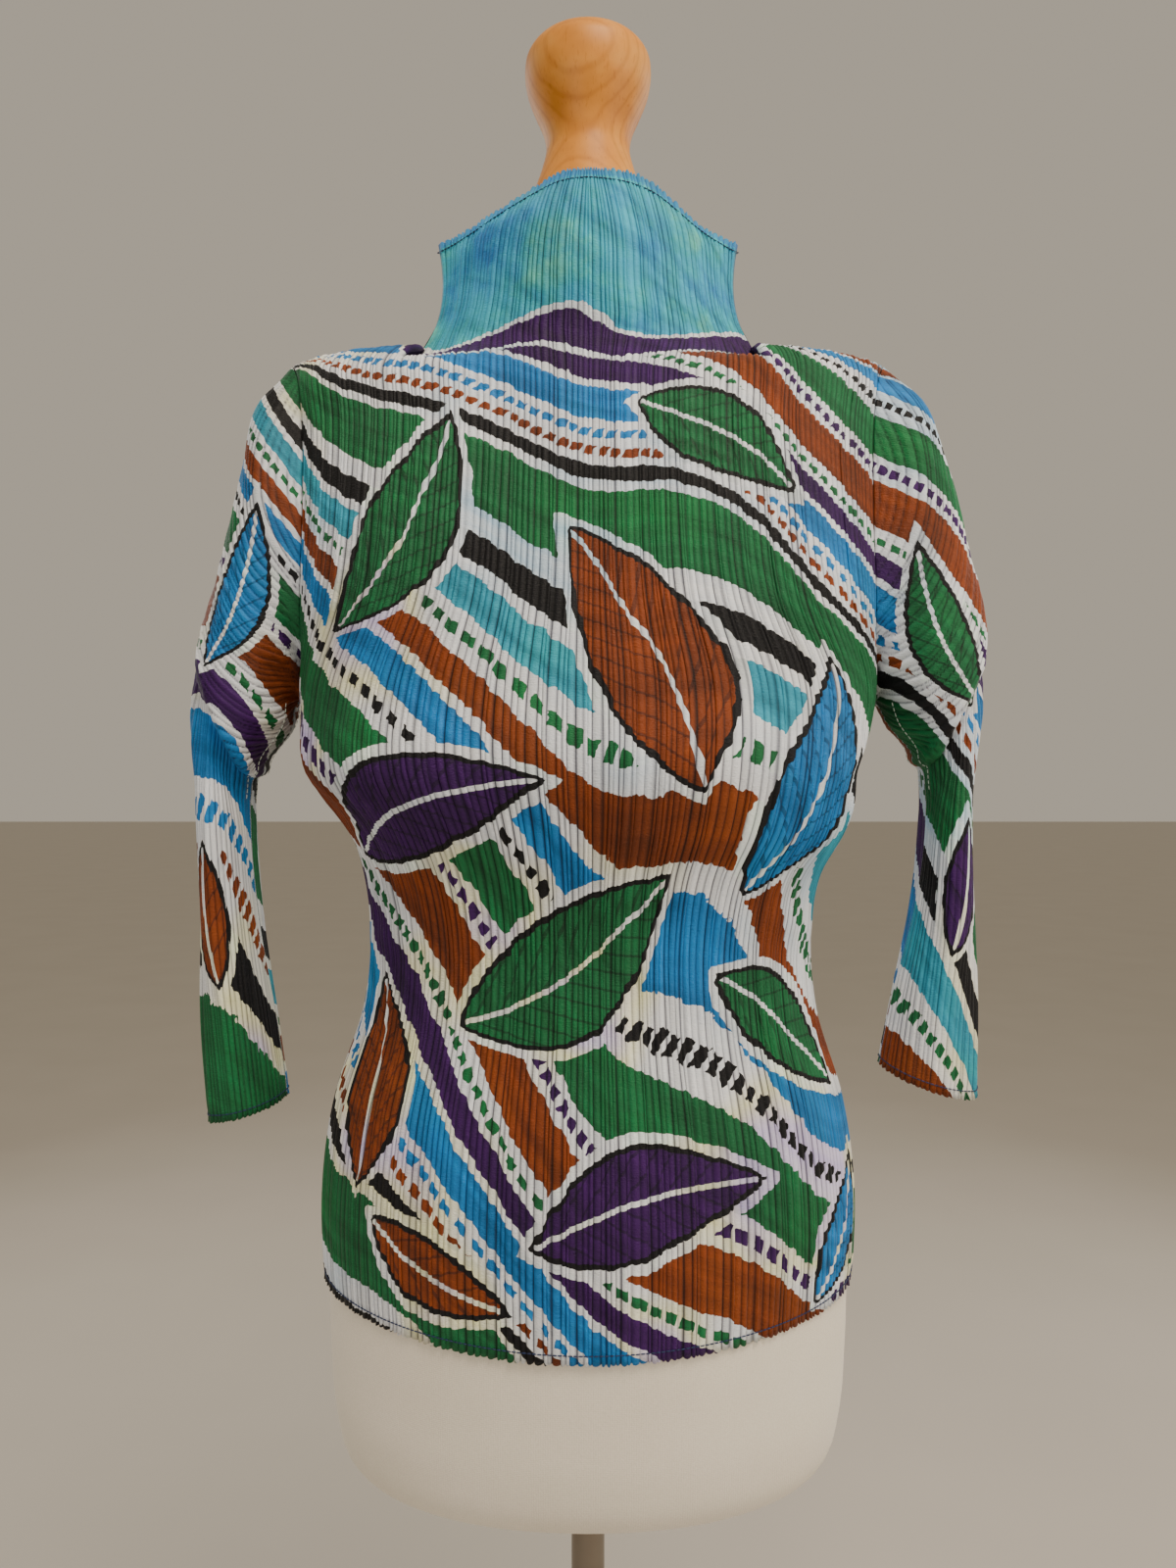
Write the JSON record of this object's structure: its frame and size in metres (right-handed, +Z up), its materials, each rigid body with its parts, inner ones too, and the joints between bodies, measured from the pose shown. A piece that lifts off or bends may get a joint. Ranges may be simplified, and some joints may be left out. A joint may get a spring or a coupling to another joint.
{
  "type": "pleated top on a dress form",
  "caption": "High-necked pleated top with set-in three-quarter sleeves and a printed all-over pattern, worn by a limbless dress form on a round-footed stand.",
  "frame": {"origin": "on the floor under the middle of the round foot", "axes": "+Z up, -Y to the front of the top, +X to the wearer's left"},
  "size_m": [0.4913, 0.34, 1.4498],
  "materials": {
    "pleated_cloth": "heat-set pleated polyester, printed in green, rust, blue, violet and black on off-white",
    "jersey": "cream cotton jersey stretched smooth over the form",
    "turned_wood": "turned beech under clear satin varnish",
    "chromed_steel": "polished chromed steel"
  },
  "bodies": {
    "root": {"front": "pleated_cloth", "back": "pleated_cloth", "sleeve_right": "pleated_cloth", "sleeve_left": "pleated_cloth", "torso": "jersey", "neck_knob": "turned_wood", "flange": "chromed_steel", "pole": "chromed_steel", "foot": "chromed_steel", "socket": "chromed_steel"}
  },
  "joints": []
}
